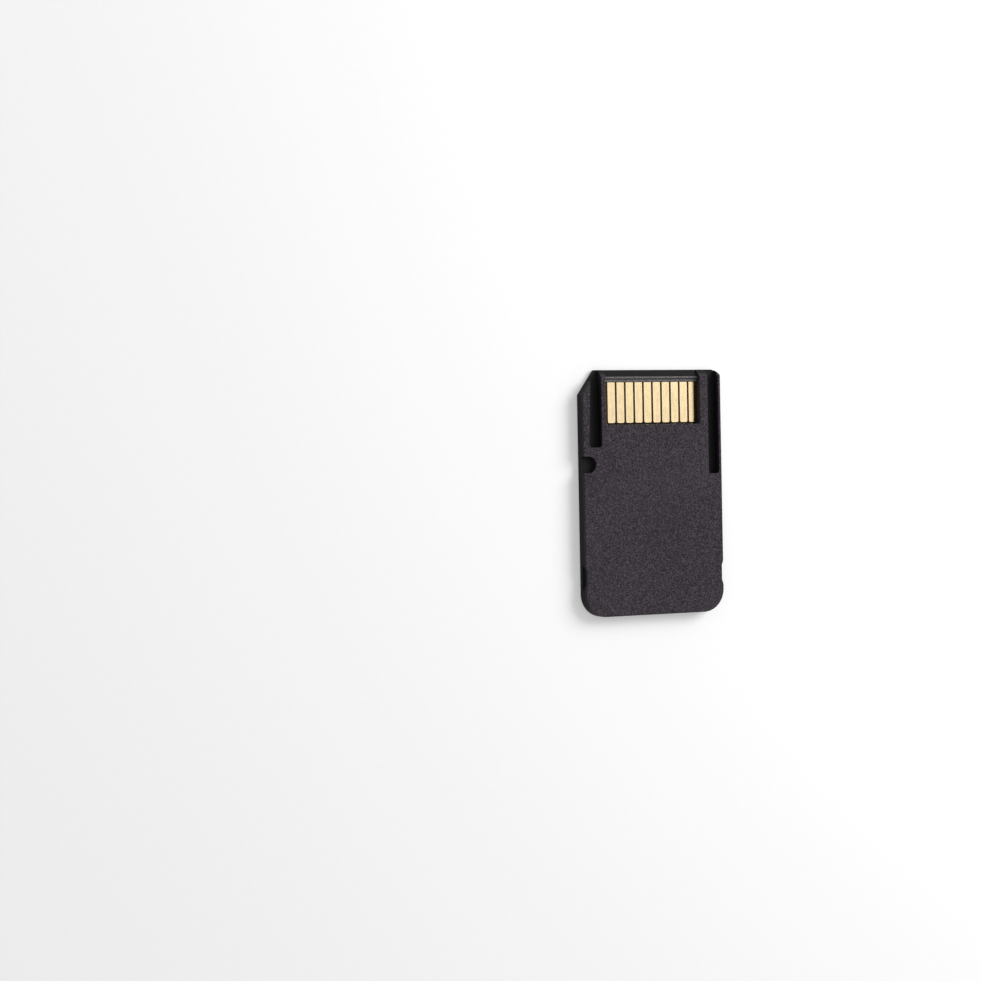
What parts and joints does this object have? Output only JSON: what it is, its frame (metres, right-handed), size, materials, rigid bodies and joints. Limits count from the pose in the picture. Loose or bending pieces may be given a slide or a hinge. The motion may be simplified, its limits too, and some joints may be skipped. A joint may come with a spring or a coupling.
{
  "type": "memory card adapter",
  "caption": "Flat black duo-size card adapter with gold contacts, guide grooves and a rear slot for a small flash card.",
  "frame": {"origin": "middle of the label side, which lies on the table", "axes": "+Y towards the contact end, +Z out of the contact face, +X to the right as seen from the contact side"},
  "size_m": [0.02, 0.031, 0.0016],
  "materials": {
    "grained_plastic": "fine spark grain",
    "smooth_plastic": "smooth satin",
    "board": "dark solder resist",
    "pad_gold": "satin gold plate",
    "block_plastic": "moulded",
    "spring_gold": "gold flash",
    "chip_epoxy": "moulded epoxy",
    "capacitor_ceramic": "fired ceramic",
    "resistor_glaze": "glazed"
  },
  "bodies": {
    "root": {"contact_side_shell": "grained_plastic", "label_side_tray": "smooth_plastic", "circuit_board": "board", "contact_pad_1": "pad_gold", "contact_pad_2": "pad_gold", "contact_pad_3": "pad_gold", "contact_pad_4": "pad_gold", "contact_pad_5": "pad_gold", "contact_pad_6": "pad_gold", "contact_pad_7": "pad_gold", "contact_pad_8": "pad_gold", "contact_pad_9": "pad_gold", "contact_pad_10": "pad_gold", "spring_block": "block_plastic", "card_spring_1": "spring_gold", "card_spring_2": "spring_gold", "card_spring_3": "spring_gold", "card_spring_4": "spring_gold", "card_spring_5": "spring_gold", "card_spring_6": "spring_gold", "card_spring_7": "spring_gold", "card_spring_8": "spring_gold", "bridge_chip": "chip_epoxy", "capacitor_1": "capacitor_ceramic", "capacitor_2": "capacitor_ceramic", "resistor_1": "resistor_glaze", "resistor_2": "resistor_glaze"}
  },
  "joints": []
}
